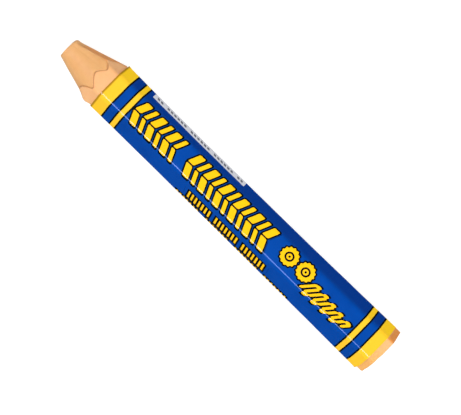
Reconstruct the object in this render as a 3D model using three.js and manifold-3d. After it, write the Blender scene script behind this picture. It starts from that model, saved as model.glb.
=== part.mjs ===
// A marking crayon: a hexagonal stick of pigmented wax, sharpened at one end, in a glued paper wrapper.
//
// Millimetres, +Z up. +X runs along the stick towards the sharpened end. The crayon lies on one of
// its flats, so z = 0 is the wrapper's underside, and the origin is under the middle of the length.

import * as THREE from "three";
import { mergeVertices } from "three/addons/utils/BufferGeometryUtils.js";
import Module from "manifold-3d";

const wasm = await Module();
wasm.setup();

// The stick. Its mould has a draft, so the end that is sharpened is a little the smaller.
const stickLength = 117.5;
const tipAcrossFlats = 12.55;
const buttAcrossFlats = 13.2;
const cornerRadius = 1.3;
const buttEdgeBreak = 0.25;

// The sharpened end: a blunt cone, cut a little off the stick's axis. Each flat of the stick ends on
// the cone in an arch, and stands above the cone there by the ledge's height.
const noseDiameter = 6.1;
const noseRound = 0.5;
const coneHalfAngle = 16.6;
const coneShiftY = 0.3;
const coneShiftZ = 0.15;
const ledgeHeight = 0.16;

// The wrapper: one sheet of paper, wound once, with its last edge lapped over its first.
const exposedTip = 15.4;
const exposedButt = 1.6;
const paperThickness = 0.22;
const pasteGap = 0.1;
const lapWidth = 3.6;
const lapGap = 0.06;
const lapRamp = 1;
const lapNormalAngle = 330; // degrees from +Y towards +Z, the lower side face that looks along +Y

// The glue: one line holds the sheet's first edge to the wax, and one closes the lap.
const glueLineWidth = 2.6;
const glueEndMargin = 2;
const glueClearance = 0.01;

// How finely round shapes are cut into flat facets.
const cornerSteps = 8;
const coneSides = 96;
const noseSteps = 6;
const archSteps = 24;

const radians = Math.PI / 180;
const faceCount = 6;
const faceAngle = (360 / faceCount) * radians;
const coneSlope = Math.tan(coneHalfAngle * radians);
const buttX = -stickLength / 2;
const noseX = stickLength / 2;
const wrapperBackX = buttX + exposedButt;
const wrapperFrontX = noseX - exposedTip;
const inradius = buttAcrossFlats / 2;
const axisHeight = inradius + pasteGap + paperThickness;
const overshoot = 1; // how far a cutting shape runs past what it cuts

// The outline of the bare stick at its butt: six straight runs and six round corners.
const flatRun = 2 * (inradius - cornerRadius) * Math.tan(faceAngle / 2);
const cornerRun = cornerRadius * faceAngle;
const pitch = flatRun + cornerRun;
const perimeter = faceCount * pitch;

// The point at a distance round that outline, moved outwards by an offset. Distance 0 is the middle
// of the face that carries the lap, and distances grow from +Y towards +Z.
function pointAround(distance, offset) {
  const face = Math.floor((distance + flatRun / 2) / pitch);
  const rest = distance + flatRun / 2 - face * pitch;
  const normalAngle = lapNormalAngle * radians + face * faceAngle;
  const normal = new THREE.Vector2(Math.cos(normalAngle), Math.sin(normalAngle));
  const tangent = new THREE.Vector2(-normal.y, normal.x);
  const point = new THREE.Vector2(0, axisHeight);
  if (rest <= flatRun) {
    point.addScaledVector(normal, inradius + offset);
    point.addScaledVector(tangent, rest - flatRun / 2);
  } else {
    const turned = normalAngle + (rest - flatRun) / cornerRadius;
    point.addScaledVector(normal, inradius - cornerRadius);
    point.addScaledVector(tangent, flatRun / 2);
    point.addScaledVector(new THREE.Vector2(Math.cos(turned), Math.sin(turned)), cornerRadius + offset);
  }
  return point;
}

// The distances from one to another that an outline needs a point at: both ends, the extra ones that
// lie between them, and every facet of every corner between them.
function stations(from, to, extra = []) {
  const found = [from, to, ...extra.filter((distance) => distance > from && distance < to)];
  for (let face = Math.floor(from / pitch); face * pitch < to; face++) {
    for (let step = 0; step <= cornerSteps; step++) {
      const distance = face * pitch + flatRun / 2 + (cornerRun * step) / cornerSteps;
      if (distance > from && distance < to) found.push(distance);
    }
  }
  return found.sort((a, b) => a - b);
}

// The section of a strip that follows the stick from one distance to another. inner gives the offset
// of its inner side at a distance, and the strip is as thick all along.
function stripShape(distances, inner, thickness) {
  const inside = distances.map((distance) => pointAround(distance, inner(distance)));
  const outside = distances.map((distance) => pointAround(distance, inner(distance) + thickness));
  return new THREE.Shape([...outside, ...inside.reverse()]);
}

// A section in the plane of Y and Z, extruded along X between two ends.
function alongStick(shape, fromX, toX, options = {}) {
  const settings = { depth: toX - fromX, steps: 1, bevelEnabled: false, ...options };
  const geometry = new THREE.ExtrudeGeometry(shape, settings);
  const yAxis = new THREE.Vector3(0, 1, 0);
  const zAxis = new THREE.Vector3(0, 0, 1);
  const xAxis = new THREE.Vector3(1, 0, 0);
  geometry.applyMatrix4(new THREE.Matrix4().makeBasis(yAxis, zAxis, xAxis));
  geometry.translate(fromX, 0, 0);
  return geometry;
}

// The size of the section at x, as a share of its size at the butt.
function draftAt(x) {
  const share = (x - buttX) / stickLength;
  return THREE.MathUtils.lerp(1, tipAcrossFlats / buttAcrossFlats, share);
}

// Draws each section in about the line that the crayon lies on, as the mould's draft does, so the
// underside stays flat.
function withDraft(geometry) {
  const position = geometry.getAttribute("position");
  for (let i = 0; i < position.count; i++) {
    const draft = draftAt(position.getX(i));
    position.setY(i, position.getY(i) * draft);
    position.setZ(i, position.getZ(i) * draft);
  }
  geometry.computeVertexNormals();
  return geometry;
}

function solidFrom(geometry) {
  const bare = geometry.clone();
  bare.deleteAttribute("normal");
  bare.deleteAttribute("uv");
  const merged = mergeVertices(bare, 1e-4);
  const vertProperties = merged.getAttribute("position").array;
  const triVerts = new Uint32Array(merged.index.array);
  return new wasm.Manifold(new wasm.Mesh({ numProp: 3, vertProperties, triVerts }));
}

function geometryFrom(solid) {
  const mesh = solid.getMesh();
  const geometry = new THREE.BufferGeometry();
  geometry.setAttribute("position", new THREE.BufferAttribute(mesh.vertProperties, 3));
  geometry.setIndex(new THREE.BufferAttribute(mesh.triVerts, 1));
  const faceted = geometry.toNonIndexed();
  faceted.computeVertexNormals();
  return faceted;
}

// The unsharpened stick: the rounded hexagon, with the edge of its butt broken.
function hexagonBar() {
  const outline = stations(0, perimeter).slice(0, -1);
  const shape = new THREE.Shape(outline.map((distance) => pointAround(distance, 0)));
  const edgeBreak = {
    bevelEnabled: true,
    bevelThickness: buttEdgeBreak,
    bevelSize: buttEdgeBreak,
    bevelOffset: -buttEdgeBreak,
    bevelSegments: 2,
  };
  return withDraft(alongStick(shape, buttX + buttEdgeBreak, noseX + overshoot, edgeBreak));
}

// Where the stick's axis and the cone's own axis run, seen along the stick at its nose.
const stickAxis = new THREE.Vector2(0, axisHeight * draftAt(noseX));
const coneShift = new THREE.Vector2(coneShiftY, coneShiftZ);
const coneAxis = stickAxis.clone().add(coneShift);
const noseRadius = noseDiameter / 2;
const cornerReach = inradius / Math.cos(faceAngle / 2) + coneShift.length() + overshoot;
const coneLength = (cornerReach - noseRadius) / coneSlope;

// The space that the sharpener leaves: a cone with a flat, rounded nose, and room for the whole bar
// behind it. The profile is turned about Y, which then becomes X.
function sharpenedSpace() {
  const turn = Math.PI / 2 - coneHalfAngle * radians;
  const roundCentre = noseRadius - noseRound * Math.tan(turn / 2);
  const profile = [new THREE.Vector2(0, noseX)];
  for (let step = 0; step <= noseSteps; step++) {
    const angle = (turn * step) / noseSteps;
    const reach = roundCentre + noseRound * Math.sin(angle);
    profile.push(new THREE.Vector2(reach, noseX - noseRound + noseRound * Math.cos(angle)));
  }
  profile.push(new THREE.Vector2(cornerReach, noseX - coneLength));
  profile.push(new THREE.Vector2(cornerReach, buttX - overshoot));
  profile.push(new THREE.Vector2(0, buttX - overshoot));
  const space = new THREE.LatheGeometry(profile.reverse(), coneSides);
  space.rotateZ(-Math.PI / 2);
  space.translate(0, coneAxis.x, coneAxis.y);
  return space;
}

// What one flat of the stick keeps above the cone. Its front edge is the arch where the cone,
// measured from its own axis, is the ledge's height short of the flat.
function flatAboveCone(face) {
  const normalAngle = lapNormalAngle * radians + face * faceAngle;
  const normal = new THREE.Vector2(Math.cos(normalAngle), Math.sin(normalAngle));
  const tangent = new THREE.Vector2(normal.y, -normal.x);
  const flatHeight = tipAcrossFlats / 2;
  const halfWidth = flatHeight * Math.tan(faceAngle / 2) + overshoot;
  const archX = (across) => {
    const reach = Math.hypot(flatHeight - coneShift.dot(normal), across - coneShift.dot(tangent));
    return noseX - (reach - ledgeHeight - noseRadius) / coneSlope;
  };
  const outline = [];
  for (let step = 0; step <= archSteps; step++) {
    const across = THREE.MathUtils.lerp(-halfWidth, halfWidth, step / archSteps);
    outline.push(new THREE.Vector2(archX(across), across));
  }
  const backX = noseX - coneLength - overshoot;
  outline.push(new THREE.Vector2(backX, halfWidth), new THREE.Vector2(backX, -halfWidth));
  const rootDepth = 3 * ledgeHeight; // deep enough to meet the cone under the whole arch
  const depth = rootDepth + overshoot;
  const slab = new THREE.ExtrudeGeometry(new THREE.Shape(outline), { depth, bevelEnabled: false });
  const along = new THREE.Vector3(1, 0, 0);
  const acrossFlat = new THREE.Vector3(0, tangent.x, tangent.y);
  const outwards = new THREE.Vector3(0, normal.x, normal.y);
  slab.applyMatrix4(new THREE.Matrix4().makeBasis(along, acrossFlat, outwards));
  const root = stickAxis.clone().addScaledVector(normal, flatHeight - rootDepth);
  slab.translate(0, root.x, root.y);
  return slab;
}

function markingStick() {
  let kept = solidFrom(sharpenedSpace());
  for (let face = 0; face < faceCount; face++) {
    kept = kept.add(solidFrom(flatAboveCone(face)));
  }
  return geometryFrom(kept.intersect(solidFrom(hexagonBar())));
}

// How far the inner side of the wound sheet lies from the wax. The last edge climbs over the first.
const sheetStart = -lapWidth / 2;
const sheetEnd = perimeter + lapWidth / 2;
const rampEnd = perimeter + sheetStart;
const rampStart = rampEnd - lapRamp;

function sheetOffset(distance) {
  const climbed = THREE.MathUtils.clamp((distance - rampStart) / lapRamp, 0, 1);
  return pasteGap + climbed * (paperThickness + lapGap);
}

function paperWrapper() {
  const distances = stations(sheetStart, sheetEnd, [rampStart, rampEnd]);
  const shape = stripShape(distances, sheetOffset, paperThickness);
  return withDraft(alongStick(shape, wrapperBackX, wrapperFrontX));
}

// A line of glue in the middle of the lap, filling the gap that starts at an offset from the wax.
function glueLine(offset, gap) {
  const distances = stations(-glueLineWidth / 2, glueLineWidth / 2);
  const shape = stripShape(distances, () => offset + glueClearance, gap - 2 * glueClearance);
  return withDraft(alongStick(shape, wrapperBackX + glueEndMargin, wrapperFrontX - glueEndMargin));
}

const wax = new THREE.MeshStandardMaterial({ color: 0xf3b67a, roughness: 0.5, metalness: 0 });
const printedPaper = new THREE.MeshStandardMaterial({ color: 0x0048b2, roughness: 0.4, metalness: 0 });
const driedGlue = new THREE.MeshStandardMaterial({ color: 0xe6dcc4, roughness: 0.35, metalness: 0 });

const crayon = new THREE.Group();

function addPiece(name, geometry, material) {
  const piece = new THREE.Mesh(geometry, material);
  piece.name = name;
  crayon.add(piece);
}

addPiece("marking_stick", markingStick(), wax);
addPiece("paper_wrapper", paperWrapper(), printedPaper);
addPiece("first_edge_glue", glueLine(0, pasteGap), driedGlue);
addPiece("lap_glue", glueLine(pasteGap + paperThickness, lapGap), driedGlue);

export default crayon;
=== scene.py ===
import math
import bpy
import numpy as np
from mathutils import Matrix, Vector


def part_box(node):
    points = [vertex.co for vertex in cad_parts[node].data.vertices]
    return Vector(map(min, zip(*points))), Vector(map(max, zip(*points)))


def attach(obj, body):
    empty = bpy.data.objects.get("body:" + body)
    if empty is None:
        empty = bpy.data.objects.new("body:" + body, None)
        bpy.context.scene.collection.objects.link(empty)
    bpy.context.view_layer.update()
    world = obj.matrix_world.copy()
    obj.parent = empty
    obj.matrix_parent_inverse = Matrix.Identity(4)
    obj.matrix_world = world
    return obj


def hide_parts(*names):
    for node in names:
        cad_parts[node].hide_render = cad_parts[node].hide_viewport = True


# The looks of a hexagonal wax marking crayon: a sharpened stick of pigmented wax in a glued,
# printed paper wrapper. +X runs to the sharpened end, +Z up, and the crayon lies on one flat.

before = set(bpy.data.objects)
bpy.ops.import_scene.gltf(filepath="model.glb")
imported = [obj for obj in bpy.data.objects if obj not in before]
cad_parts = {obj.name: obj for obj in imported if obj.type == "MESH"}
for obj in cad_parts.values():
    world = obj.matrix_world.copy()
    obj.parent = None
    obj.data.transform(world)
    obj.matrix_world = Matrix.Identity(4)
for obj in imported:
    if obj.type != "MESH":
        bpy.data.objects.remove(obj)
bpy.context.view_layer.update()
print("frame loaded:", sorted(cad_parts))

mm = 0.001
deg = math.pi / 180
stickLow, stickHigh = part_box("marking_stick")
sheetLow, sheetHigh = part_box("paper_wrapper")
buttX, noseX = stickLow.x, stickHigh.x
sheetBackX, sheetFrontX = sheetLow.x, sheetHigh.x
sheetLong = sheetFrontX - sheetBackX


# Small tools for shapes, all on whole arrays

def smooth(value):  # 0 below 0, 1 above 1, with an even S between them
    held = np.clip(value, 0, 1)
    return held * held * (3 - 2 * held)


def bell(at, size, width, place=0):  # a size at a place, falling away over a width
    return size * np.exp(-(((at - place) / width) ** 2))


def mix(first, second, share):
    return first + (second - first) * share


def window(value, start, rise, end, fall):  # 1 from a start to an end, and 0 beyond them
    return smooth((value - start) / rise) * (1 - smooth((value - end) / fall))


def steps(start, end, count):  # even steps from the start, without it, to the end
    return np.linspace(start, end, count + 1)[1:]


def joined(*parts):  # numbers and arrays side by side, along a last axis
    return np.stack(np.broadcast_arrays(*parts), -1)


# A soft unevenness of about a height both ways: a sum of sine waves of about one wavelength
def unevenness(points, height, wavelength, seed):
    waves = 9
    draw = np.random.default_rng(seed)
    directions = draw.normal(size=(waves, points.shape[-1]))
    directions /= np.linalg.norm(directions, axis=1, keepdims=True)
    pace = 2 * math.pi / wavelength * draw.uniform(0.7, 1.5, waves)
    phase = draw.uniform(0, 2 * math.pi, waves)
    total = np.zeros(points.shape[:-1])
    for i in range(waves):
        total += np.sin(points @ directions[i] * pace[i] + phase[i])
    return height * total / math.sqrt(waves)


sharpAngle = 38 * deg


def addObject(name, data):
    item = bpy.data.objects.new(name, data)
    bpy.context.scene.collection.objects.link(item)
    return item


# A mesh object from vertices and faces, smooth but for its sharper edges
def addMesh(name, vertices, faces, attributes=None):
    mesh = bpy.data.meshes.new(name)
    mesh.from_pydata(vertices.tolist(), [], faces)
    for key, values in (attributes or {}).items():
        layer = mesh.attributes.new(key, "FLOAT", "POINT")
        layer.data.foreach_set("value", np.asarray(values, np.float32).ravel())
    mesh.polygons.foreach_set("use_smooth", np.ones(len(mesh.polygons), bool))
    mesh.set_sharp_from_angle(angle=sharpAngle)
    mesh.update()
    return addObject(name, mesh)


# The faces between the rows of a grid of points. Closed rows join their last column to their first.
def gridFaces(rows, columns, closed, start=0):
    row = np.arange(rows - 1)[:, None] * columns
    column = np.arange(columns - (not closed))
    beside = (column + 1) % columns
    corners = joined(row + column, row + beside, row + columns + beside, row + columns + column)
    return corners.reshape(-1, 4) + start


# A closed skin over rings of points: quads between them, and a fan of triangles over either end.
# Rings that turn against their order need it inside out.
def skinOver(rings, insideOut=False):
    count, columns = rings.shape[:2]
    vertices = np.concatenate([rings.reshape(-1, 3), rings[[0, -1]].mean(1)])
    first = np.arange(columns)
    beside = (first + 1) % columns
    middle = count * columns
    last = middle - columns
    fans = np.concatenate([
        joined(beside, first, middle),
        joined(last + first, last + beside, middle + 1),
    ])
    faces = gridFaces(count, columns, True).tolist() + fans.tolist()
    return vertices, [face[::-1] for face in faces] if insideOut else faces


def claim(piece, node, slotName, *materials):
    for material in materials:
        piece.data.materials.append(material)
    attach(piece, "root")
    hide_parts(node)


# Materials are node trees. A Wire is a number in one of them, so that patterns read as sums.
class Wire:
    def __init__(self, tree, socket):
        self.tree = tree
        self.socket = socket

    def math(self, operation, *others):
        node = self.tree.nodes.new("ShaderNodeMath")
        node.operation = operation
        for i, value in enumerate((self, *others)):
            feed(value, node.inputs[i])
        return Wire(self.tree, node.outputs[0])

    def __add__(self, other):
        return self.math("ADD", other)

    def __sub__(self, other):
        return self.math("SUBTRACT", other)

    def __mul__(self, other):
        return self.math("MULTIPLY", other)

    def size(self):
        return self.math("ABSOLUTE")

    def hypotenuse(self, other):
        return (self * self + other * other).math("SQRT")

    def least(self, other):
        return self.math("MINIMUM", other)

    def most(self, other):
        return self.math("MAXIMUM", other)

    def above(self, other):
        return self.math("GREATER_THAN", other)

    def wrapped(self, length):  # into -length/2 to length/2
        return self.math("WRAP", length / 2, -length / 2)

    def held(self):  # into 0 to 1
        return self.most(0.0).least(1.0)

    def contrast(self, gain):  # spread out about one half, into 0 to 1
        return (self * gain + (0.5 - gain / 2)).held()

    # 1 where the number is below an edge, 0 above it, softened over a width
    def below(self, edge, width):
        return (self * (-1 / width) + (0.5 + edge / width)).held()


def feed(value, socket):  # a wire or a plain value into a socket
    if isinstance(value, Wire):
        value.tree.links.new(value.socket, socket)
    else:
        socket.default_value = value


def setLooks(shader, looks):  # wires or plain values into its named sockets
    for name, value in looks.items():
        feed(value, shader.inputs[name])


def newMaterial(name):
    material = bpy.data.materials.new(name)
    material.use_nodes = True
    tree = material.node_tree
    tree.nodes.clear()
    output = tree.nodes.new("ShaderNodeOutputMaterial")
    shader = tree.nodes.new("ShaderNodeBsdfPrincipled")
    tree.links.new(shader.outputs["BSDF"], output.inputs["Surface"])
    return material, tree, shader


def fromScreen(red, green, blue):  # a colour as a screen shows it, as the light it stands for
    def light(level):
        share = level / 255
        return share / 12.92 if share <= 0.04045 else ((share + 0.055) / 1.055) ** 2.4
    return (light(red), light(green), light(blue), 1.0)


def colourMix(first, second, share):  # colours or wires, mixed by a wire's share
    node = share.tree.nodes.new("ShaderNodeMix")
    node.data_type = "RGBA"
    for i, value in ((6, first), (7, second), (0, share)):  # the sockets for colours
        feed(value, node.inputs[i])
    return Wire(share.tree, node.outputs[2])


def objectPlace(tree):
    return Wire(tree, tree.nodes.new("ShaderNodeTexCoord").outputs["Object"])


def splitPlace(place):  # its X and its Y
    node = place.tree.nodes.new("ShaderNodeSeparateXYZ")
    feed(place, node.inputs["Vector"])
    return Wire(place.tree, node.outputs["X"]), Wire(place.tree, node.outputs["Y"])


def attributeWire(tree, name):
    node = tree.nodes.new("ShaderNodeAttribute")
    node.attribute_name = name
    return Wire(tree, node.outputs["Fac"])


# Noise whose features are about a length across, between 0 and 1
def noiseWire(place, length, detail=3, roughness=0.6, stretch=(1, 1, 1)):
    mapping = place.tree.nodes.new("ShaderNodeMapping")
    setLooks(mapping, {"Vector": place, "Scale": stretch})
    scaled = Wire(place.tree, mapping.outputs["Vector"])
    noise = place.tree.nodes.new("ShaderNodeTexNoise")
    setLooks(noise, {"Vector": scaled, "Scale": 1 / length, "Detail": detail, "Roughness": roughness})
    return Wire(place.tree, noise.outputs["Fac"])


def addBump(shader, height, distance, strength):
    node = height.tree.nodes.new("ShaderNodeBump")
    setLooks(node, {"Strength": strength, "Distance": distance, "Height": height})
    height.tree.links.new(node.outputs["Normal"], shader.inputs["Normal"])


# The section that every piece follows: a rounded hexagon that tapers a little to the tip
section = {
    "sheetRoom": 0.32 * mm,  # paste and paper under the lowest flat
    "cornerRadius": 1.3 * mm,
    "tipShare": 12.66 / 13.2,  # the tip's size across flats over the butt's
    "frontRun": 32 * mm,  # from the wrapper's front edge back to the full waist
    "backRun": 45 * mm,  # and from its back edge
    "narrowed": 0.034,  # how much narrower the waist is
    "bowed": 0.12 * mm,  # how far the middle lies towards +Y
    # A bell round the stick: how far one corner is worn at the wrapper's front edge
    "softCorner": (0.03 * mm, 6.5 * deg, 63 * deg),
    "softFade": 2 * mm,  # the length over which that ends, about the edge
}
inradius = (stickHigh.z - section["sheetRoom"]) / 2
axisHeight = inradius + section["sheetRoom"]
cornerRadius = section["cornerRadius"]
sixth = math.pi / 3
flatRun = 2 * (inradius - cornerRadius) * math.tan(sixth / 2)
cornerRun = cornerRadius * sixth
pitch = flatRun + cornerRun
perimeter = 6 * pitch


def draftAt(x):
    return mix(1.0, section["tipShare"], (x - buttX) / (noseX - buttX))


# The cast stick shrank a little in the middle: there its sides are drawn in, one more than the
# other. One corner is worn, more and more towards the wrapper's front edge. Every piece takes the
# same change, so what lies on what stays the same.
def asCast(points):
    x, y, z = np.moveaxis(points, -1, 0)
    fromFront = np.clip((sheetFrontX - x) / section["frontRun"], 0, 1)
    fromBack = np.clip((x - sheetBackX) / section["backRun"], 0, 1)
    waist = np.sin(fromFront * math.pi / 2) * np.sin(fromBack * math.pi / 2)
    angle = np.arctan2(z - axisHeight * draftAt(x), y)
    soft = bell(angle, *section["softCorner"]) * np.clip((x - sheetBackX) / sheetLong, 0, 1)
    soft = soft * smooth((sheetFrontX - x) / section["softFade"] + 0.5)
    drawnIn = (y - soft * np.cos(angle)) * (1 - section["narrowed"] * waist)
    return joined(x, drawnIn + section["bowed"] * waist, z - soft * np.sin(angle))


# From the axis out to the rounded hexagon, at an angle from +Y towards +Z: the flat's distance
# over the cosine, and past the flat's end the far side of the corner's circle.
def hexagonReach(angle):
    fromFlat = np.abs(angle % sixth - sixth / 2)
    onFlat = inradius / np.cos(fromFlat)
    centre = (inradius - cornerRadius) / math.cos(sixth / 2)
    aside = centre * np.sin(sixth / 2 - fromFlat)
    onCorner = centre * np.cos(sixth / 2 - fromFlat) + np.sqrt(np.maximum(cornerRadius**2 - aside**2, 0))
    return np.where(fromFlat < math.atan2(flatRun / 2, inradius), onFlat, onCorner)


# The wax stick. In the dictionaries a bell is a size, a width and, where that isn't 0, a place, and
# waves are a height, a wavelength and a seed.

stick = {
    "columns": 432,
    "rows": {
        "butt": 22, "edge": 5, "bare": 8, "wrapped": 33, "toLedge": 25, "ledge": 26, "cone": 45,
        "rim": 9, "nose": 17,
    },
    "leastShare": 0.04,  # an end face's first row, as a share of the way out from its middle
    "edgeBreak": 0.18 * mm,
    "cornerBreak": (0.3 * mm, 17 * deg),  # a bell: the edge is worn more at the +Y corner
    "buttBack": 0.54 * mm,  # how far the butt's face reaches past the sawn length
    # How far the face falls back, towards which side, from what distance and over what distance
    "buttWear": (
        (0.2 * mm, 1, 0 * mm, 3 * mm),
        (0.18 * mm, 1, 5 * mm, 2 * mm),
        (0.2 * mm, -1, 4 * mm, 3 * mm),
    ),
    "wearRun": 3 * mm,  # how far in front of the butt that ends
    "buttDish": 0.18 * mm,
    "dishShare": 0.9,  # of the way out to the broken edge
    "buttWaves": (0.02 * mm, 2.2 * mm, 5),
    "noseRadius": 3.05 * mm,
    "coneHalfAngle": 16.6 * deg,
    "coneShiftY": 0.17 * mm,
    "coneShiftZ": 0.01 * mm,
    "sharpRound": 0.15 * mm,  # of the nose's rim on the +Y side
    "softRound": 0.75 * mm,  # of the nose's rim on the -Y side
    "roundTurn": 0.6,  # how soon one becomes the other
    "rimRoom": 0.9 * mm,  # from the last of the cone's rows to the nose
    "noseWaves": (0.03 * mm, 1.8 * mm, 11),
    "noseEdge": 0.2,  # the share of the way in over which those begin
    "waveRadius": 6 * mm,  # the waves round the stick are read off a circle of this size
    "skinWaves": (0.018 * mm, 5 * mm, 3),
    "cutterWaves": (0.02 * mm, 4 * mm, 8),
    "ledgeHeight": 0.16 * mm,
    "ledgeRun": 0.3 * mm,
    "ledgeStretch": (0.45 * mm, 1.5 * mm),  # before and past the ledge, with rows close together
    "ledgeCrowding": 0.75,
    "ledgeRange": (0.7 * mm, 5 * mm),  # it is looked for from the wrapper's edge on to the nose
    "halvings": 40,
    "leastBare": 0.5 * mm,  # the ledge's least distance from the wrapper
    "groove": (0.05 * mm, 0.14 * mm, 0.18 * mm),  # bells past the ledge
    "rim": (0.05 * mm, 0.4 * mm, 0.75 * mm),
    "ledgeLine": (1, 0.26 * mm, 0.1 * mm),  # a bell of painted shade in the ledge's groove
    # Bells round the stick, by which the ledge lies further forward or back
    "lobeBlunt": (0.35 * mm, 5 * deg),  # the lobes between the arches are blunt
    "ridgeBlunt": (0.9 * mm, 8 * deg, 2 * sixth),  # the one by the ridge is blunter
    "sideForward": (1.6 * mm, 22 * deg),  # the skin reaches further on the +Y corner
    "archPoint": (0.25 * mm, 7 * deg, math.pi / 2),  # the top flat's arch is pointed
    "shortened": (2.0 * mm, 8 * deg, math.pi),  # the skin ends early on the -Y corner
    "lip": (0.46 * mm, 1.3 * mm, 2.96 * mm),  # bells from the wrapper: wax pushed up past the cone
    "burr": (0.24 * mm, 0.85 * mm, 2.3 * mm),
    "burrHollow": (0.144 * mm, 0.85 * mm, 0.685 * mm),  # behind the burr
    "lipSpread": 17 * deg,  # the lip and the burr lie on the +Y corner
    # Windows round the stick are a start, a rise, an end and a fall
    "smeared": (122 * deg, 12 * deg, 186 * deg, 12 * deg),  # where the ledge is smeared away
    "swelling": 0.08,  # how far the cone swells towards its ridge on the -Y side
    "swellFrom": 108 * deg,
    "ridgeAngles": (125 * deg, 134.5 * deg),  # at the nose, at the ledge
    "facetAngles": (157.5 * deg, 163.5 * deg),  # of the flat beyond the ridge
    "ridgeRun": 9.3 * mm,  # from the nose to the ledge
    "ridgeRound": 0.15 * mm,
    "facetReach": 1.01,  # of the flat at the ridge, over the ridge's own
    "leastCosine": 0.2,  # of the angle from the flat, beyond which it no longer cuts
    "facetEnd": 1.0 * mm,  # how far short of the nose the flat fades out
    "facetFade": 1.6 * mm,
    "facetLift": 1 * mm,
    "hollow": (0.015, 30 * deg),  # a bell: how far the cone falls in on the +Y side
    "hollowAngle": 12 * deg,
    "hollowRun": 12 * mm,  # from the nose to its full depth
    "paintedShadeAtButt": (115.5, 5, 236, 8),  # the window of the painted shade on the -Y side, in degrees
    "paintedShadeAtCone": (128, 8, 178, 30),
    "paintedShadeStop": (4.4 * mm, 3.6 * mm),  # how far short of the nose it begins to go, and over what
}
coneSlope = math.tan(stick["coneHalfAngle"])
coneAxisZ = axisHeight * draftAt(noseX) + stick["coneShiftZ"]


def fromPlusY(angle):  # how far an angle lies from the +Y corner, either way round
    return np.minimum(angle, 2 * math.pi - angle)


# The lesser of two, with the corner between them rounded over a width
def softLeast(first, second, width):
    between = np.clip(0.5 + (second - first) / (2 * width), 0, 1)
    return mix(second, first, between) - width * between * (1 - between)


# From the stick's axis out to the cone, whose own axis runs beside it. On the -Y side the cone
# swells up to a ridge, and beyond that a flat cuts it off. On the +Y side it falls in.
def coneReach(x, angle):
    shiftZ = coneAxisZ - axisHeight * draftAt(x)
    towards = stick["coneShiftY"] * np.cos(angle) + shiftZ * np.sin(angle)
    aside = stick["coneShiftY"] ** 2 + shiftZ**2 - towards**2
    fromNose = noseX - x
    radius = stick["noseRadius"] + fromNose * coneSlope
    toLedge = np.clip(fromNose / stick["ridgeRun"], 0, 1)
    ridge, flat = mix(*stick["ridgeAngles"], toLedge), mix(*stick["facetAngles"], toLedge)
    rise = ridge - stick["swellFrom"]
    swell = window(angle, stick["swellFrom"], rise, flat, rise)
    fromHollow = (angle - stick["hollowAngle"] + math.pi) % (2 * math.pi) - math.pi
    fallen = bell(fromHollow, *stick["hollow"]) * smooth(fromNose / stick["hollowRun"])
    swollen = radius * (1 + stick["swelling"] * swell - fallen)
    flatReach = stick["facetReach"] * radius * (1 + stick["swelling"]) * np.cos(flat - ridge)
    cut = flatReach / np.maximum(np.cos(angle - flat), stick["leastCosine"])
    faded = smooth((stick["facetEnd"] - fromNose) / stick["facetFade"] + 0.5)
    radius = softLeast(swollen, cut + stick["facetLift"] * faded, stick["ridgeRound"])
    return towards + np.sqrt(radius**2 - aside)


# Where each column's flat ends on the cone: halving the stretch in which the cone, raised by the
# ledge, comes up to the hexagon.
def ledgePlaces(angle):
    fromWrapper, fromNose = stick["ledgeRange"]
    near = np.full_like(angle, noseX - fromNose)
    far = np.full_like(angle, sheetFrontX + fromWrapper)
    for _ in range(stick["halvings"]):
        middle = (near + far) / 2
        under = coneReach(middle, angle) + stick["ledgeHeight"] < hexagonReach(angle) * draftAt(middle)
        near = np.where(under, middle, near)
        far = np.where(under, far, middle)
    fromCorner = (angle + sixth / 2) % sixth - sixth / 2
    moved = bell(fromCorner, *stick["lobeBlunt"]) * np.maximum(np.sin(angle), 0)
    moved += bell(angle, *stick["ridgeBlunt"]) + bell(fromPlusY(angle), *stick["sideForward"])
    moved += bell(angle, *stick["archPoint"]) - bell(angle, *stick["shortened"])
    return np.maximum((near + far) / 2 + moved, sheetFrontX + stick["leastBare"])


# The side's distance from the axis: the cast skin up to the ledge, then the cut cone, with a
# groove at the ledge's foot, a soft rim before it and the lip on the +Y corner.
def sideReach(x, angle, ledgeX):
    past = x - ledgeX
    cut = smooth(past / stick["ledgeRun"] + 0.5)
    radius = stick["waveRadius"]
    place = joined(x, radius * np.cos(angle), radius * np.sin(angle))
    skin = hexagonReach(angle) * draftAt(x) + unevenness(place, *stick["skinWaves"])
    cone = coneReach(x, angle) + unevenness(place, *stick["cutterWaves"])
    fromWrapper = x - sheetFrontX
    burred = skin + bell(fromWrapper, *stick["burr"]) - bell(fromWrapper, *stick["burrHollow"])
    lipped = np.minimum(burred, cone + bell(fromWrapper, *stick["lip"]))
    skin = mix(skin, lipped, bell(fromPlusY(angle), 1, stick["lipSpread"]))
    marks = bell(past, *stick["rim"]) - bell(past, *stick["groove"])
    return mix(skin, cone, cut) + marks * (1 - window(angle, *stick["smeared"])), cut, past


def stickPoints(x, reach, angle):
    return joined(x, reach * np.cos(angle), axisHeight * draftAt(x) + reach * np.sin(angle))


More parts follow.
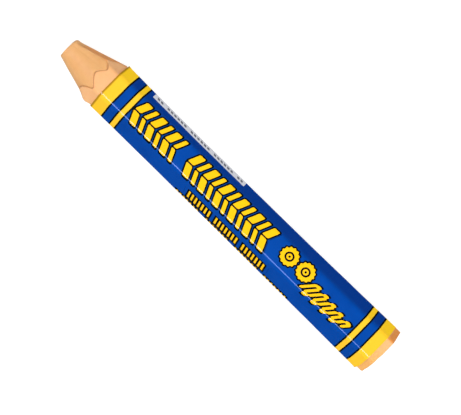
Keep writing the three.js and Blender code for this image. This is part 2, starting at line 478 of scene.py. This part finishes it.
def makeStick():
    angle = np.arange(stick["columns"]) * 2 * math.pi / stick["columns"]
    ledgeX = ledgePlaces(angle)
    rows = stick["rows"]
    farOff = 5 * mm  # from the ledge, beyond its line
    parts = []

    def addRows(points, cut, past):
        parts.append(joined(*np.moveaxis(points, -1, 0), cut, past))

    # The butt's face, dished as the wax shrank, out to the broken edge
    edge = stick["edgeBreak"] + bell(fromPlusY(angle), *stick["cornerBreak"])
    share = np.linspace(stick["leastShare"], 1, rows["butt"])[:, None]
    reach = (hexagonReach(angle) - edge) * share
    face = stickPoints(np.full_like(reach, buttX), reach, angle)
    dishShare = stick["dishShare"]
    sunk = stick["buttDish"] * (1 - smooth(share / dishShare)) + stick["buttWaves"][0]
    sunk = sunk + unevenness(face, *stick["buttWaves"])
    face[..., 0] += sunk * (1 - smooth((share - dishShare) / (1 - dishShare)))
    addRows(face, 0, -farOff)
    turn = steps(0, math.pi / 2, rows["edge"])[:, None]
    reach = hexagonReach(angle) - edge * (1 - np.sin(turn))
    addRows(stickPoints(buttX + edge * (1 - np.cos(turn)), reach, angle), 0, -farOff)

    # The sides: straight rows to the wrapper's front, then rows that bend into the ledge's line
    straight = np.concatenate([
        steps(buttX + edge.max(), sheetBackX, rows["bare"]),
        steps(sheetBackX, sheetFrontX, rows["wrapped"]),
    ])
    before, beyond = stick["ledgeStretch"]
    toLedge = mix(sheetFrontX, ledgeX - before, steps(0, 1, rows["toLedge"])[:, None])
    step = steps(-1, 1, rows["ledge"])[:, None]
    spread = mix(step, step**3, stick["ledgeCrowding"])
    overLedge = ledgeX + spread * np.where(step < 0, before, beyond)
    toNose = mix(ledgeX + beyond, noseX - stick["rimRoom"], steps(0, 1, rows["cone"])[:, None])
    everyX = np.concatenate([np.repeat(straight[:, None], len(angle), 1), toLedge, overLedge, toNose])
    reach, cut, past = sideReach(everyX, angle, ledgeX)
    addRows(stickPoints(everyX, reach, angle), cut, past)

    # The nose: from the cone over a rim of varying roundness to a flat face
    rim = stickPoints(np.full_like(angle, noseX), coneReach(noseX, angle), angle)
    turned = smooth(0.5 + stick["roundTurn"] * np.cos(angle))
    roundness = mix(stick["softRound"], stick["sharpRound"], turned)
    onConeX = rim[..., 0] - roundness
    onCone = stickPoints(onConeX, coneReach(onConeX, angle), angle)
    centre = np.array([noseX, stick["coneShiftY"], coneAxisZ])
    onFace = mix(rim, centre, (roundness / stick["noseRadius"])[:, None])
    along = np.linspace(0, 1, rows["rim"])[:, None, None]
    curve = (1 - along) ** 2 * onCone + 2 * along * (1 - along) * rim + along**2 * onFace
    addRows(curve, 1, farOff)
    share = steps(1, stick["leastShare"], rows["nose"])[:, None, None]
    face = mix(centre, onFace, share)
    sunk = stick["noseWaves"][0] + unevenness(face, *stick["noseWaves"])
    face[..., 0] -= sunk * smooth((1 - share[..., 0]) / stick["noseEdge"])
    addRows(face, 1, farOff)

    every = np.concatenate(parts)
    rings, cut, past = asCast(every[..., :3]), every[..., 3], every[..., 4]
    atButt = np.clip(1 - (rings[..., 0] - buttX) / stick["wearRun"], 0, 1)
    worn = sum(
        depth * smooth((side * rings[..., 1] - start) / run)
        for depth, side, start, run in stick["buttWear"]
    )
    rings[..., 0] += (worn - stick["buttBack"]) * atButt

    # Painted shade on the -Y side's face: a more orange colour at the butt and on the cone, and none on
    # either end face
    paintedShadeMask = window(angle, *(
        np.where(rings[..., 0] < 0, back, front) * deg
        for back, front in zip(stick["paintedShadeAtButt"], stick["paintedShadeAtCone"])
    ))
    paintedShadeMask[:rows["butt"]] = 0
    stopFrom, stopRun = stick["paintedShadeStop"]
    paintedShadeMask *= 1 - smooth((rings[..., 0] - noseX + stopFrom) / stopRun)
    # Painted shade along the ledge's groove, but where the ledge is smeared away
    line = bell(past, *stick["ledgeLine"]) * (1 - window(angle, *stick["smeared"]))
    shares = {  # with the two end faces' middles last
        "cutShare": np.append(cut, [0, 1]),
        "ledgeLine": np.append(line, [0, 0]),
        "facetShare": np.append(paintedShadeMask, [0, 0]),
    }
    return addMesh("waxStick", *skinOver(rings, insideOut=True), shares)


# The wax: peach where it was cast, more orange and mottled where it was cut

waxLook = {
    "castColour": fromScreen(233, 178, 124),
    "castTint": fromScreen(227, 161, 104),
    "cutColour": fromScreen(216, 159, 100),
    "cutTint": fromScreen(228, 176, 118),
    "buttColour": fromScreen(234, 170, 90),
    "buttTint": fromScreen(234, 178, 118),  # towards the -Y side
    "buttPaintedShade": fromScreen(222, 136, 50),  # painted shade on that side's own face
    "facetPaintedShade": fromScreen(232, 156, 88),  # painted shade on the flat that faces -Y
    # painted shade at the ledge, and the dark specks' colour
    "ledgeShadeAndSpeckColour": fromScreen(172, 112, 64),
    "cloudSize": 4 * mm,
    "mottleSize": 1.1 * mm,
    "grainSize": 0.18 * mm,
    "scratchSize": 0.35 * mm,
    "scratchStretch": (0.12, 1, 1),
    "blotchGain": 2.4,
    "castShare": 0.55,  # of the tint, at most
    "cutShare": 0.7,
    "buttRun": 2.2 * mm,  # how far the deeper colour reaches from the butt
    "buttShare": 0.85,
    "tintRun": 7 * mm,  # the width over which the butt's tint gives way to its colour
    "tintEven": 0.3,  # the colour's share in the middle of that
    "ledgeShadeShare": 0.6,
    "speckGain": 5,
    "speckStart": 3.1,
    "speckShare": 0.22,
    "roughness": 0.5,
    "mottleRoughness": 0.16,
    "cutSmoothness": 0.06,
    "relief": 0.03 * mm,
}


def waxMaterial():
    material, tree, shader = newMaterial("pigmentedWax")
    place = objectPlace(tree)
    clouds = noiseWire(place, waxLook["cloudSize"])
    mottle = noiseWire(place, waxLook["mottleSize"])
    grain = noiseWire(place, waxLook["grainSize"], detail=2)
    cut, line, paintedShadeMask = (attributeWire(tree, name) for name in ("cutShare", "ledgeLine", "facetShare"))
    blotch = (clouds * 0.6 + mottle * 0.4).contrast(waxLook["blotchGain"])
    cast = colourMix(waxLook["castColour"], waxLook["castTint"], blotch * waxLook["castShare"])
    shorn = colourMix(waxLook["cutColour"], waxLook["cutTint"], blotch * waxLook["cutShare"])
    # Painted shade: the cut wax on the -Y side turns a more orange colour
    shorn = colourMix(shorn, waxLook["facetPaintedShade"], paintedShadeMask)
    colour = colourMix(cast, shorn, cut)
    along, sideways = splitPlace(place)
    fromButt = (along - buttX) * (1 / waxLook["buttRun"]) + blotch * 0.5
    towards = (sideways * (1 / waxLook["tintRun"]) + waxLook["tintEven"]).held()
    butt = colourMix(waxLook["buttTint"], waxLook["buttColour"], towards)
    # Painted shade: the butt's -Y face turns a darker orange
    butt = colourMix(butt, waxLook["buttPaintedShade"], paintedShadeMask)
    colour = colourMix(colour, butt, fromButt.below(1.0, 0.5) * waxLook["buttShare"])
    # Painted shade along the ledge
    colour = colourMix(colour, waxLook["ledgeShadeAndSpeckColour"], line * waxLook["ledgeShadeShare"])
    specks = (grain * waxLook["speckGain"] - waxLook["speckStart"]).held()
    colour = colourMix(colour, waxLook["ledgeShadeAndSpeckColour"], specks * waxLook["speckShare"])
    roughness = mottle * waxLook["mottleRoughness"] + waxLook["roughness"]
    setLooks(shader, {
        "Base Color": colour,
        "Roughness": roughness - cut * waxLook["cutSmoothness"],
        "IOR": 1.44,
        "Specular IOR Level": 0.35,
        "Subsurface Weight": 0.12,
        "Subsurface Radius": (1.0, 0.5, 0.25),
        "Subsurface Scale": 0.4 * mm,
    })
    stretch = waxLook["scratchStretch"]
    scratches = noiseWire(place, waxLook["scratchSize"], detail=2, roughness=0.5, stretch=stretch)
    relief = mottle * 0.5 + grain * 0.25 + scratches * 0.3
    addBump(shader, relief, waxLook["relief"], 0.8)
    return material


# The paper wrapper

wrapper = {
    "paper": 0.11 * mm,
    "pasteGap": 0.21 * mm,
    "frontSlip": -0.22 * mm,  # the tube of paper lies askew on the stick
    "backSlip": 0.22 * mm,
    "frontOver": 0.25 * mm,  # how far its front edge has crept along
    "frontSkew": 0.004,
    "lapWidth": 3.6 * mm,
    "lapGap": 0.1 * mm,
    "lapRamp": 1.0 * mm,
    "lapAngle": 330 * deg,  # the face that carries the lap, from +Y towards +Z
    "restingFace": 5,  # the face on the floor, counted from that one
    "cornerSteps": 10,
    "flatSteps": 10,
    "rampSteps": 7,
    "edgeClear": 0.1 * mm,  # no column is nearer to the sheet's edges, but for one
    "edgeStep": 0.05 * mm,
    "rows": 200,
    "endStep": 0.5 * mm,
    "slackWaves": (0.012 * mm, 9 * mm, 21),
    "looseWaves": (0.5, 11 * mm, 22),  # about one half: how far the edges stand off
    "mostLoose": 1.4,
    "edgeLift": (0.07 * mm, 1.3 * mm),  # a bell from either end
    "lapLift": 0.06 * mm,
    "lapLiftRun": 1.2 * mm,
    "askew": 0.1 * mm,  # how far the cut ends run off square
    "askewWaves": (0.02 * mm, 3 * mm, 31),
    "askewShare": 0.6,
    "dent": (0.5 * mm, 1.5 * mm),  # a bell: the rear edge is pushed forward at the +Y corner
    "dentRun": 6 * mm,
    "printU": (0.01, 0.89),  # the printed side's stretch of the UV map, across
    "plainU": (0.91, 0.99),  # the plain side's
    "spanV": (0.01, 0.99),
}
sheetStart = -wrapper["lapWidth"] / 2
sheetEnd = perimeter + wrapper["lapWidth"] / 2
rampEnd = perimeter + sheetStart
rampStart = rampEnd - wrapper["lapRamp"]


# A point of the section at a distance round the bare stick and an offset out from it. Distance 0
# is the middle of the lap's face, and distances grow from +Y towards +Z.
def aroundStick(distance, offset):
    face = np.floor((distance + flatRun / 2) / pitch)
    rest = distance + flatRun / 2 - face * pitch
    normal = wrapper["lapAngle"] + face * sixth
    onFlat = np.minimum(rest, flatRun) - flatRun / 2
    turned = normal + np.maximum(rest - flatRun, 0) / cornerRadius
    core = inradius - cornerRadius
    out = cornerRadius + offset
    y = core * np.cos(normal) - onFlat * np.sin(normal) + out * np.cos(turned)
    z = core * np.sin(normal) + onFlat * np.cos(normal) + out * np.sin(turned)
    return y, z + axisHeight


def sheetStations():
    faces = np.arange(-1, 8)[:, None] * pitch
    flat = np.linspace(-flatRun / 2, flatRun / 2, wrapper["flatSteps"] + 1)[:-1]
    corner = flatRun / 2 + np.linspace(0, cornerRun, wrapper["cornerSteps"] + 1)[:-1]
    every = (faces + np.concatenate([flat, corner])).ravel()
    clear = wrapper["edgeClear"]
    inside = every[(every > sheetStart + clear) & (every < sheetEnd - clear)]
    ends = [sheetStart, sheetEnd, sheetEnd - wrapper["edgeStep"]]
    ramp = np.linspace(rampStart, rampEnd, wrapper["rampSteps"])
    return np.unique(np.round(np.concatenate([inside, ends, ramp]), 9))


# How far the sheet's inner side lies from the wax: the paste, the climb over the first edge, the
# slack of the middle of each flat, and the lift along both ends and the lap.
def sheetOffset(distance, x):
    climbed = smooth((distance - rampStart) / wrapper["lapRamp"])
    offset = wrapper["pasteGap"] + climbed * (wrapper["paper"] + wrapper["lapGap"])
    fromEnd = np.minimum(x - sheetBackX, sheetFrontX - x)
    place = joined(x, distance)
    offset = offset + unevenness(place, *wrapper["slackWaves"])
    loose = (0.5 + unevenness(place, *wrapper["looseWaves"])).clip(0, wrapper["mostLoose"])
    fromLap = (distance - sheetEnd) / wrapper["lapLiftRun"]
    lift = bell(fromEnd, *wrapper["edgeLift"]) + wrapper["lapLift"] * smooth(fromLap + 1)
    offset = offset + lift * loose
    resting = np.abs(distance - wrapper["restingFace"] * pitch) < pitch / 2
    return np.where(resting, np.minimum(offset, wrapper["pasteGap"]), offset)


def slipAt(x):
    return mix(wrapper["backSlip"], wrapper["frontSlip"], (x - sheetBackX) / sheetLong)


def sheetPoints(distance, x, offset):
    y, z = aroundStick(distance, offset)
    draft = draftAt(x)
    return asCast(joined(x, y * draft + slipAt(x), z * draft))


def makeWrapper():
    distance = sheetStations()
    share = np.linspace(0, 1, wrapper["rows"])
    end = wrapper["endStep"] / sheetLong
    share = np.unique(np.concatenate([share, [end, end / 2, 1 - end / 2, 1 - end]]))[:, None]
    x = sheetBackX + share * sheetLong
    # The cut ends run a little askew and aren't quite even
    askew = wrapper["askew"] * (distance / perimeter * 2 - 1)
    askew = askew + unevenness(distance[:, None], *wrapper["askewWaves"])
    x = x - np.abs(askew) * (share - 0.5) * wrapper["askewShare"]
    y, _ = aroundStick(distance, wrapper["pasteGap"])
    x = x + (wrapper["frontOver"] + wrapper["frontSkew"] * y) * share
    dented = np.clip(1 - share * sheetLong / wrapper["dentRun"], 0, 1)
    x = x + bell(distance - pitch / 2, *wrapper["dent"]) * dented
    inner = sheetOffset(distance, x)
    outside = sheetPoints(distance, x, inner + wrapper["paper"])
    inside = sheetPoints(distance, x, inner)
    rows, columns = outside.shape[:2]
    count = rows * columns
    vertices = np.concatenate([outside.reshape(-1, 3), inside.reshape(-1, 3)])
    printed = gridFaces(rows, columns, False)[:, ::-1]
    plain = gridFaces(rows, columns, False, count)
    # The four cut edges join the two sides
    border = np.concatenate([
        np.arange(columns),
        np.arange(2, rows + 1) * columns - 1,
        np.arange(count - 2, count - columns - 1, -1),
        np.arange(rows - 2, -1, -1) * columns,
    ])
    edges = joined(border[:-1], border[1:], border[1:] + count, border[:-1] + count)
    faces = np.concatenate([printed, plain, edges])
    piece = addMesh("paperWrapper", vertices, faces.tolist())
    mesh = piece.data

    # The UV map: the printed side is one upright rectangle, the plain side a narrow one beside it
    around = (distance - sheetStart) / (sheetEnd - sheetStart)
    v = mix(*wrapper["spanV"], share)
    sides = [joined(mix(*wrapper[side], around), v) for side in ("printU", "plainU")]
    places = np.stack(sides).reshape(-1, 2)
    corners = np.zeros(len(mesh.loops), np.int32)
    mesh.loops.foreach_get("vertex_index", corners)
    layer = mesh.uv_layers.new(name="print")
    layer.data.foreach_set("uv", places[corners].astype(np.float32).ravel())
    slots = np.repeat([0, 1, 1], [len(printed), len(plain), len(edges)])
    mesh.polygons.foreach_set("material_index", slots.astype(np.int32))
    return piece


# The print, in millimetres: back from the wrapper's front edge, and across from the middle of the
# top flat, towards -Y

label = {
    "edge": 0.05,  # the width over which one ink gives way to the next
    "wideBand": 3.55,
    "thinBand": (6.9, 8.3),
    "bandShift": 0.345,
    "bandEdge": (0.3, 0.1),  # where the bands' own yellow ends
    "keyline": 0.5,
    "keylineEdge": 0.08,
    "farOff": 9.0,  # more than the keyline's reach
    "treadStarts": (10.0, 29.8),
    "treadSplit": 27.7,
    "treadRuns": (16.3, 30.7),
    "treadPitch": 5.55,
    "treadLean": 0.42,
    "treadSpare": 0.5,  # a run of lugs takes in this much more in front
    "grooveAcross": 0.14,
    "lugMiddle": 1.96,  # from the groove
    "lugHalf": 1.73,
    "broadLug": (1.2, 1.02, 0.35),  # its place, half its length and its corners' radius
    "narrowLug": (3.95, 0.6, 0.3),
    "tyreMiddle": 69.6,
    "tyreAcross": 1.05,
    "tyreSpacing": 6.0,
    "tyreRing": (2.0, 0.6),  # the middle of its width, and half of that
    "tyreHub": (0.6, 0.26),
    "tyreLugs": 14,
    "tyreLugHeight": 0.14,
    "tyreLugStart": 1.6,
    "scribbleMiddle": 82.8,
    "scribbleAcross": -2.5,  # of the line that its strokes stand on
    "scribbleTurn": 0.8,  # the radius of its turns
    "scribbleStrokes": 9,
    "scribbleReach": 0.85,  # of a stroke to either side, in the middle of the length
    "scribbleTaper": 0.06,
    "scribbleLean": 0.8,
    "scribbleHalf": 0.46,
    # Each row's middle, height, start, end and number of groups
    "dashRows": ((-7.9, 3.1, 34.4, 64.7, 3), (-11.8, 2.6, 31.0, 75.2, 4)),
    "dashLean": 0.12,
    "dashPitch": 1.25,
    "dashHalf": 0.3,
    "dashGroupHalf": 4.1,
    "panelAcross": 13.4,
    "panelAlong": 27.6,
    "panelHalves": (5.3, 17.1),
    "panelRadius": 0.3,
    "panelLines": (1.9, 0.5),  # their pitch, and half their height
    "panelDashes": (1.25, 0.36),
    "panelWords": (8.75, 0.5),  # their pitch, and half the gap between them
    "panelLean": 0.3,
    "panelMargins": (0.5, 1, 0.1),  # across, along, and the field's corners' radius
    "panelInkEdge": (0.05, 0.14),
    "panelInkShare": 0.9,
    "paintedSideSpan": (3.4, 19.0),  # across, of the painted shade on the -Y side's blue and the painted light on its bands' yellow
    "paintedSideEdge": 2.0,
    "brownedFront": 0.5,  # a brown line along the wrapper's front edge
    "brownedFrontEdge": 0.3,
    "brownedFrontWaver": 0.3,
    "brownedFrontShare": 0.75,
    "thinGain": 3,
    "thinStart": 1.75,
    "thinShare": 0.015,  # of paper that shows through the ink
    "blue": fromScreen(0, 70, 162),
    "deepBlue": fromScreen(0, 63, 149),
    # painted shade: a darker blue on the -Y side
    "paintedShadeBlue": fromScreen(0, 57, 146),
    "yellow": fromScreen(255, 198, 20),
    "deepYellow": fromScreen(252, 190, 8),
    "bandYellow": fromScreen(245, 194, 44),
    # painted light: a lighter yellow on the -Y side's bands
    "bandPaintedLight": fromScreen(255, 208, 30),
    "black": fromScreen(4, 14, 16),
    "frontBrown": fromScreen(140, 92, 20),
    "panelColour": fromScreen(214, 216, 224),
    "panelInk": fromScreen(84, 86, 96),
    "paperColour": fromScreen(238, 232, 218),
    "paperShade": fromScreen(206, 196, 174),
}


# The distance to a rectangle with rounded corners, below 0 inside it
def roundedBox(across, along, halfAcross, halfAlong, radius):
    outAcross = (across.size() - (halfAcross - radius)).most(0.0)
    outAlong = (along.size() - (halfAlong - radius)).most(0.0)
    return outAcross.hypotenuse(outAlong) - radius


# A row of slanted dashes, seven to a group
def dashRow(along, across, middle, height, start, end, groups):
    group = (end - start) / groups
    leaned = along + (across - middle) * label["dashLean"]
    inGroup = (leaned - (start + group / 2)).wrapped(group)
    dash = inGroup.wrapped(label["dashPitch"]).size() - label["dashHalf"]
    dash = dash.most(inGroup.size() - label["dashGroupHalf"])
    dash = dash.most((across - middle).size() - height / 2)
    return dash.most((leaned - (start + end) / 2).size() - (end - start) / 2)


# The distance to a scribble: straight strokes, joined in turn above and below by half circles
def scribble(along, across):
    radius = label["scribbleTurn"]
    reach = along * -label["scribbleTaper"] + label["scribbleReach"]
    across = across - reach
    freeAlong = along - across * label["scribbleLean"]
    halfRun = label["scribbleStrokes"] * radius - 0.001  # a hair short of the next turn
    leaned = freeAlong.least(halfRun).most(-halfRun)
    past = freeAlong - leaned
    fromTurn = leaned.wrapped(2 * radius)
    upper = ((leaned - fromTurn) * (math.pi / (2 * radius))).math("COSINE")
    height = across * upper
    beyond = (height - reach).most(0.0)
    short = (height * -1 - reach).most(0.0)
    onTurn = (fromTurn.hypotenuse(beyond) - radius).size()
    fromLine = fromTurn.size() - radius
    onLine = fromLine.hypotenuse(short)
    away = onLine + (onTurn - onLine) * beyond.above(0.0)
    return away.hypotenuse(past) - label["scribbleHalf"]


def printMaterial():
    material, tree, shader = newMaterial("printedPaper")
    uv = tree.nodes.new("ShaderNodeUVMap")
    uv.uv_map = "print"
    around, upwards = splitPlace(Wire(tree, uv.outputs["UV"]))
    girth = (sheetEnd - sheetStart) / mm
    long = sheetLong / mm
    printU, spanV = wrapper["printU"], wrapper["spanV"]
    topMiddle = 2 * pitch / mm - sheetStart / mm
    perU = girth / (printU[1] - printU[0])
    perV = long / (spanV[1] - spanV[0])
    across = around * perU - (printU[0] * perU + topMiddle)
    along = upwards * -perV + (spanV[1] * perV)

    # Bands, mirrored about the middle of the length
    fromEnd = (along - (long / 2 + label["bandShift"])).size() * -1 + long / 2
    wide = fromEnd - label["wideBand"]
    thinFrom, thinTo = label["thinBand"]
    thin = (fromEnd - (thinFrom + thinTo) / 2).size() - (thinTo - thinFrom) / 2
    bands = wide.least(thin)

    # Tread lugs: two mirrored rows that lean away from a groove, a broad and a narrow lug in turn
    second = along.above(label["treadSplit"])
    start, run = (
        second * (late - early) + early for early, late in (label["treadStarts"], label["treadRuns"])
    )
    fromGroove = (across - label["grooveAcross"]).size() - label["lugMiddle"]
    leaned = along - fromGroove * label["treadLean"] - start
    spare = label["treadSpare"] / 2
    outside = (leaned - run * 0.5 + spare).size() - run * 0.5 - spare
    broad, narrow = (
        roundedBox(fromGroove, (leaned - spot).wrapped(label["treadPitch"]), label["lugHalf"], half, bend)
        for spot, half, bend in (label["broadLug"], label["narrowLug"])
    )
    lugs = broad.least(narrow) + outside.above(0.0) * label["farOff"]

    # Two tyres side by side, and a scribble such as the crayon draws
    tyreAlong = (along - label["tyreMiddle"]).size() - label["tyreSpacing"] / 2
    tyreAcross = across - label["tyreAcross"]
    radius = tyreAlong.hypotenuse(tyreAcross)
    turn = tyreAcross.math("ARCTAN2", tyreAlong)
    tread = (turn * label["tyreLugs"]).math("SINE") * (radius - label["tyreLugStart"]).held()
    ring, hub = (
        (radius - middle).size() - half for middle, half in (label["tyreRing"], label["tyreHub"])
    )
    tyres = (ring - tread * label["tyreLugHeight"]).least(hub)
    line = scribble(along - label["scribbleMiddle"], across - label["scribbleAcross"])
    marks = tyres.least(line)

    # Rows of dashes on the +Y face stand for small print
    rows = [dashRow(along, across, *row) for row in label["dashRows"]]
    small = rows[0].least(rows[1])

    drawn = bands.least(lugs).least(marks).least(small)
    edge = label["edge"]
    place = objectPlace(tree)
    clouds = noiseWire(place, 7 * mm, roughness=0.5)
    fibres = noiseWire(place, 0.22 * mm)
    inkDots = noiseWire(place, 0.09 * mm, detail=1, roughness=0.5)
    blue = colourMix(label["blue"], label["deepBlue"], clouds.contrast(2))
    # Painted shade and painted light on the -Y side: a darker blue, and a lighter yellow in the bands
    sideFrom, sideTo = label["paintedSideSpan"]
    pace = 1 / label["paintedSideEdge"]
    paintedSideShare = ((across - sideFrom) * pace).held() * ((across * -1 + sideTo) * pace).held()
    blue = colourMix(blue, label["paintedShadeBlue"], paintedSideShare)
    yellow = colourMix(label["yellow"], label["deepYellow"], clouds.contrast(1.6))
    banded = colourMix(label["bandYellow"], label["bandPaintedLight"], paintedSideShare)
    yellow = colourMix(yellow, banded, bands.below(*label["bandEdge"]))
    outlined = drawn.below(label["keyline"], label["keylineEdge"])
    colour = colourMix(blue, label["black"], outlined)
    colour = colourMix(colour, yellow, drawn.below(0.0, edge))

    # The pale panel, with rows of grey dashes
    panelAcross, panelAlong = across - label["panelAcross"], along - label["panelAlong"]
    halfAcross, halfAlong = label["panelHalves"]
    panel = roundedBox(panelAcross, panelAlong, halfAcross, halfAlong, label["panelRadius"])
    inkAlong = along + across * label["panelLean"]
    linePitch, lineHalf = label["panelLines"]
    dashPitch, dashHalf = label["panelDashes"]
    wordPitch, gapHalf = label["panelWords"]
    lines = panelAcross.wrapped(linePitch).size() - lineHalf
    lines = lines.most(inkAlong.wrapped(dashPitch).size() - dashHalf)
    lines = lines.most(inkAlong.wrapped(wordPitch).size() * -1 + gapHalf)
    sides, ends, bend = label["panelMargins"]
    lines = lines.most(roundedBox(panelAcross, panelAlong, halfAcross - sides, halfAlong - ends, bend))
    inked = lines.below(*label["panelInkEdge"]) * label["panelInkShare"]
    pale = colourMix(label["panelColour"], label["panelInk"], inked)
    colour = colourMix(colour, pale, panel.below(0.0, edge))
    thinInk = (inkDots * label["thinGain"] - label["thinStart"]).held()
    colour = colourMix(colour, label["paperColour"], thinInk * label["thinShare"])
    # A brown line along the wrapper's front edge, with a wavering boundary
    wavering = along + (clouds - 0.5) * label["brownedFrontWaver"]
    brownedFront = wavering.below(label["brownedFront"], label["brownedFrontEdge"])
    colour = colourMix(colour, label["frontBrown"], brownedFront * label["brownedFrontShare"])
    setLooks(shader, {  # a thin glossy varnish over matt ink
        "Base Color": colour,
        "Roughness": 0.6,
        "Specular IOR Level": 0.0,
        "Coat Weight": 0.38,
        "Coat IOR": 2.4,
        "Coat Roughness": 0.15,
    })
    height = fibres * 0.5 + clouds * 0.6 + drawn.below(0.0, 0.1) * 0.12
    addBump(shader, height, 0.012 * mm, 0.5)
    return material


def plainPaperMaterial():
    material, tree, shader = newMaterial("plainPaper")
    place = objectPlace(tree)
    fibres = noiseWire(place, 0.15 * mm, detail=4, roughness=0.65)
    clouds = noiseWire(place, 2 * mm, detail=2, roughness=0.5)
    shade = (fibres * 0.6 + clouds * 0.4).held()
    colour = colourMix(label["paperColour"], label["paperShade"], shade * 0.5)
    setLooks(shader, {"Base Color": colour, "Roughness": fibres * 0.2 + 0.65})
    addBump(shader, fibres, 0.03 * mm, 0.8)
    return material


# The glue lines

glue = {
    "width": 2.6 * mm,
    "endMargin": 2 * mm,
    "clearance": 0.01 * mm,
    "rows": 260,
    "columns": 28,
    "squareness": 0.5,  # the power that turns a circle into a flat, round-edged section
    "waver": 0.06,
    "waverLength": 4 * mm,
    "colour": fromScreen(228, 214, 186),
    "deepColour": fromScreen(206, 180, 136),
}


def squared(value):
    return np.sign(value) * np.abs(value) ** glue["squareness"]


# A pressed line of glue: a strip along the middle of the lap, with wavering sides
def makeGlueLine(name, offset, gap, seed):
    margin = glue["endMargin"]
    x = np.linspace(sheetBackX + margin, sheetFrontX - margin, glue["rows"])[:, None]
    turn = np.arange(glue["columns"]) * 2 * math.pi / glue["columns"]
    waver = glue["waver"] + unevenness(x, glue["waver"], glue["waverLength"], seed)[:, None]
    distance = squared(np.cos(turn)) * glue["width"] / 2 * (1 - waver)
    # On the bare stick the glue doesn't follow the paper's slip, so it fills what that opens
    slip = slipAt(x) if offset == 0 else 0
    opened = gap + slip * math.cos(wrapper["lapAngle"])
    half = opened / 2 - glue["clearance"]
    height = offset + opened / 2 + half * squared(np.sin(turn))
    rings = sheetPoints(distance, x, height)
    rings[..., 1] -= slip
    return addMesh(name, *skinOver(rings))


def glueMaterial():
    material, tree, shader = newMaterial("driedGlue")
    place = objectPlace(tree)
    clouds = noiseWire(place, 1.5 * mm)
    bubbles = noiseWire(place, 0.25 * mm, detail=1, roughness=0.5)
    colour = colourMix(glue["colour"], glue["deepColour"], clouds.contrast(2))
    setLooks(shader, {"Base Color": colour, "Roughness": clouds * 0.2 + 0.25})
    addBump(shader, bubbles, 0.02 * mm, 0.6)
    return material


claim(makeStick(), "marking_stick", "wax", waxMaterial())
print("stick made")
claim(makeWrapper(), "paper_wrapper", "printed_paper", printMaterial(), plainPaperMaterial())
print("wrapper made")
driedGlue = glueMaterial()
paper, pasteGap, lapGap = wrapper["paper"], wrapper["pasteGap"], wrapper["lapGap"]
claim(makeGlueLine("firstEdgeGlue", 0, pasteGap, 41), "first_edge_glue", "dried_glue", driedGlue)
claim(makeGlueLine("lapGlue", pasteGap + paper, lapGap, 43), "lap_glue", "dried_glue", driedGlue)
print("glue made")

# The floor, the lights and the camera

stage = {
    "floorSize": 3.0,
    "floorPoints": 9,
    "floorColour": fromScreen(165, 165, 165),
    "floorGlow": 0.72,
    "skyLight": 0.28,
    # Each lamp's power, place and size
    "key": (7.6, (-0.1, 0.02, 1.0), (0.4, 0.4)),
    "side": (5.0, (0.0, 0.52, 0.87), (1.2, 0.6)),
    "fill": (0.9, (0.0, -0.9, 0.45), (1.2, 0.6)),
    "sheen": (11.5, (0.47, 0.36, 0.95), (1.4, 0.3)),
    "sheenColour": (0.42, 0.54, 1.0),
}


def makeFloor():
    size, count = stage["floorSize"], stage["floorPoints"]
    side = np.linspace(-size / 2, size / 2, count)
    vertices = joined(side, side[:, None], 0).reshape(-1, 3)
    floor = addMesh("floor", vertices, gridFaces(count, count, False).tolist())
    material, _, shader = newMaterial("paleFloor")
    setLooks(shader, {
        "Base Color": stage["floorColour"],
        "Roughness": 0.9,
        "Specular IOR Level": 0.1,
        "Emission Color": (1, 1, 1, 1),
        "Emission Strength": stage["floorGlow"],
    })
    floor.data.materials.append(material)
    floor.visible_glossy = False  # what is glossy shows one lamp alone


# A lamp turned to the middle of the crayon. It lights what it shines on or is seen in what is
# glossy, one or the other.
def addLight(name, power, place, size, glossy=False, colour=(1, 1, 1)):
    light = bpy.data.lights.new(name, "AREA")
    light.energy = power
    light.color = colour
    light.shape = "RECTANGLE"
    light.size, light.size_y = size
    lamp = addObject(name, light)
    lamp.location = place
    lamp.visible_glossy = glossy
    lamp.visible_diffuse = not glossy
    # Otherwise the rays from a matt layer carry a lamp into the gloss above it
    light.cycles.use_multiple_importance_sampling = glossy
    back = Vector(place).normalized()
    right = Vector((0, 1, 0)).cross(back).normalized()
    lamp.rotation_euler = Matrix((right, back.cross(right), back)).transposed().to_euler()


def addSky():
    world = bpy.data.worlds.new("studio")
    world.use_nodes = True
    bpy.context.scene.world = world
    background = world.node_tree.nodes["Background"]
    setLooks(background, {"Color": (1, 1, 1, 1), "Strength": stage["skyLight"]})
    world.cycles_visibility.glossy = False


photo = {
    "footX": -5 * mm,  # where the line from the camera meets the stick squarely
    "distance": 750 * mm,
    "lean": 2.5 * deg,  # off the top flat's normal, towards +Y
    "aim": (-2.665 * mm, 0.492 * mm, 6.8 * mm),
    "turn": 44.267 * deg,  # how far the stick slopes down in the picture
    "lens": 215.1,
    "sensor": 36,
    "clipEnd": 20,
}


def addCamera():
    lean, turn, away = photo["lean"], photo["turn"], photo["distance"]
    eye = Vector((photo["footX"], away * math.sin(lean), away * math.cos(lean)))
    back = (eye - Vector(photo["aim"])).normalized()
    up = Vector((math.sin(turn), -math.cos(turn), 0))
    right = up.cross(back).normalized()
    up = back.cross(right)
    lens = bpy.data.cameras.new("camera")
    lens.lens = photo["lens"]
    lens.sensor_width = photo["sensor"]
    lens.clip_end = photo["clipEnd"]
    camera = addObject("camera", lens)
    camera.matrix_world = Matrix((right, up, back)).transposed().to_4x4()
    camera.location = eye
    bpy.context.scene.camera = camera


makeFloor()
for lampName in ("key", "side", "fill"):
    addLight(lampName, *stage[lampName])
addLight("sheen", *stage["sheen"], glossy=True, colour=stage["sheenColour"])
addSky()
addCamera()
bpy.context.scene.view_settings.view_transform = "Standard"
print("stage made")
